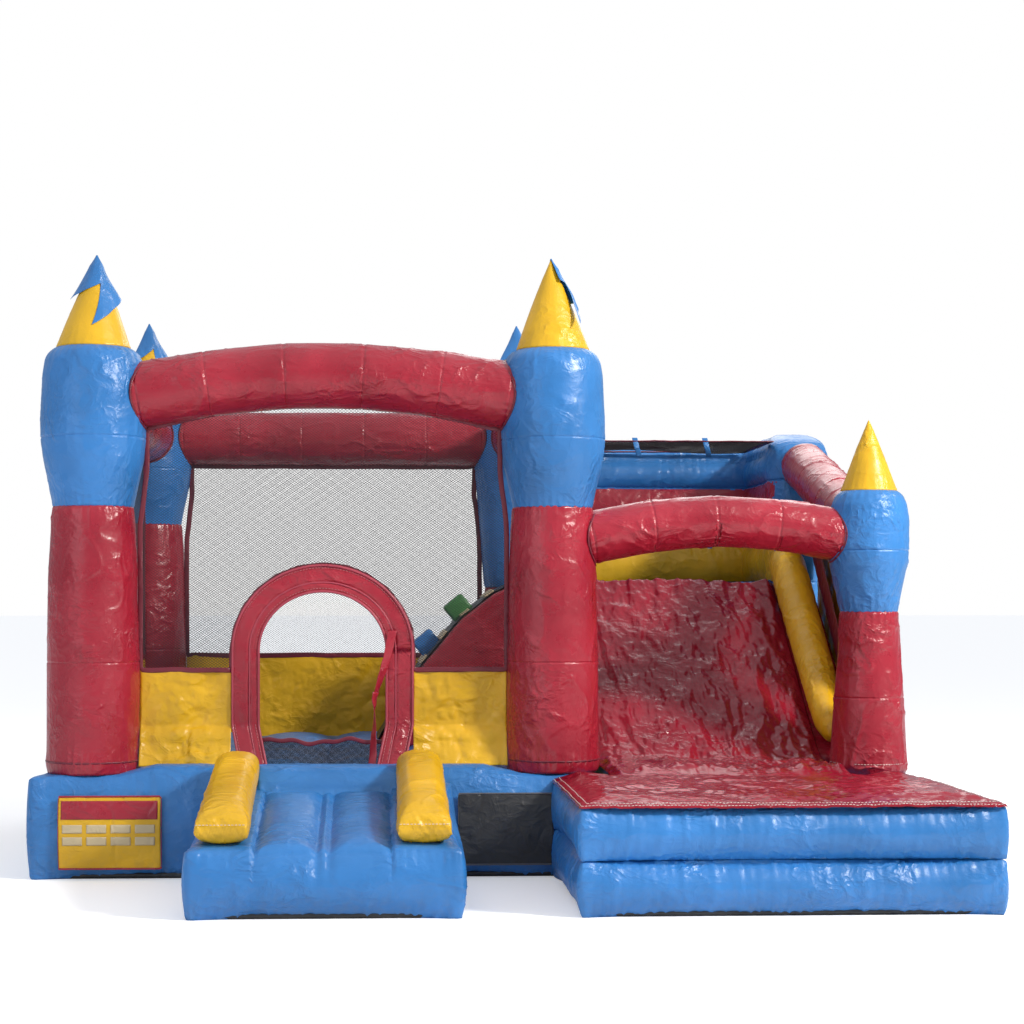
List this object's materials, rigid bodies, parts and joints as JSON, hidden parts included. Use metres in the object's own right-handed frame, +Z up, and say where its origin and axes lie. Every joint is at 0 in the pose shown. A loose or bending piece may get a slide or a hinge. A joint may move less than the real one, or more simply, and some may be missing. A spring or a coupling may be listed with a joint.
{
  "type": "inflatable bounce house",
  "caption": "Inflatable play castle with a netted bounce room, corner turrets, a climbing ramp to a walled platform, a side slide with a landing and an entrance step.",
  "frame": {"origin": "on the ground, under the middle of the whole part's box", "axes": "+X from the bounce room to the slide, -Y the way the entrance and the slide face, +Z up"},
  "size_m": [4.85, 5.07, 3.376],
  "materials": {
    "blue_vinyl": "satin",
    "red_vinyl": "gloss",
    "yellow_vinyl": "satin",
    "green_vinyl": "satin",
    "white_vinyl": "satin",
    "black_net": "matte",
    "grey_webbing": "matte",
    "zinc_steel": "satin"
  },
  "bodies": {
    "root": {"anchor_tab_left": "grey_webbing", "anchor_tab_right": "grey_webbing", "arch_front": "red_vinyl", "arch_slide": "red_vinyl", "base_baffles": "white_vinyl", "base_chamber": "blue_vinyl", "beam_back": "red_vinyl", "beam_left": "red_vinyl", "beam_right": "red_vinyl", "cap_back_left": "blue_vinyl", "cap_back_right": "blue_vinyl", "cap_front_left": "blue_vinyl", "cap_front_right": "blue_vinyl", "climb_hold": "green_vinyl", "climb_ramp": "red_vinyl", "column_back_left_cone": "yellow_vinyl", "column_back_left_lower": "red_vinyl", "column_back_left_upper": "blue_vinyl", "column_back_right_cone": "yellow_vinyl", "column_back_right_lower": "red_vinyl", "column_back_right_upper": "blue_vinyl", "column_front_left_cone": "yellow_vinyl", "column_front_left_lower": "red_vinyl", "column_front_left_upper": "blue_vinyl", "column_front_right_cone": "yellow_vinyl", "column_front_right_lower": "red_vinyl", "column_front_right_upper": "blue_vinyl", "column_slide_cone": "yellow_vinyl", "column_slide_lower": "red_vinyl", "column_slide_upper": "blue_vinyl", "door_arch": "red_vinyl", "inflation_sleeve": "blue_vinyl", "landing_cover": "red_vinyl", "landing_lower": "blue_vinyl", "landing_upper": "blue_vinyl", "net_back": "black_net", "net_front": "black_net", "net_roof": "black_net", "panel_back": "yellow_vinyl", "panel_front_left": "yellow_vinyl", "panel_front_right": "yellow_vinyl", "rail_slide": "red_vinyl", "slide_base": "blue_vinyl", "slide_bolster": "yellow_vinyl", "slide_cover": "red_vinyl", "slide_side_panel": "yellow_vinyl", "slide_slope": "blue_vinyl", "step_bolster_left": "yellow_vinyl", "step_bolster_right": "yellow_vinyl", "step_ramp": "blue_vinyl", "tower_platform": "blue_vinyl", "tower_wall_back": "blue_vinyl", "tower_wall_right": "blue_vinyl", "wall_left": "black_net", "wall_right": "black_net"},
    "flap_door": {"door_flap": "black_net"},
    "flap_deflation": {"deflation_flap": "blue_vinyl"},
    "ring_left": {"anchor_ring_left": "zinc_steel"},
    "ring_right": {"anchor_ring_right": "zinc_steel"}
  },
  "joints": [
    {"name": "door_flap_fold", "type": "hinge", "parent": "root", "child": "flap_door", "pos_m": [-0.8575, -0.857, 0.5535], "axis": [1, 0, 0], "range_deg": [-60, 0], "stiffness_Nm_per_rad": 0.05},
    {"name": "deflation_flap_lift", "type": "hinge", "parent": "root", "child": "flap_deflation", "pos_m": [-0.45, 2.1995, 0.34], "axis": [1, 0, 0], "range_deg": [0, 150]},
    {"name": "anchor_ring_left_swing", "type": "hinge", "parent": "root", "child": "ring_left", "pos_m": [-2.2, 2.202, 0.215], "axis": [1, 0, 0], "range_deg": [0, 150]},
    {"name": "anchor_ring_right_swing", "type": "hinge", "parent": "root", "child": "ring_right", "pos_m": [2.2, 2.202, 0.215], "axis": [1, 0, 0], "range_deg": [0, 150]}
  ]
}
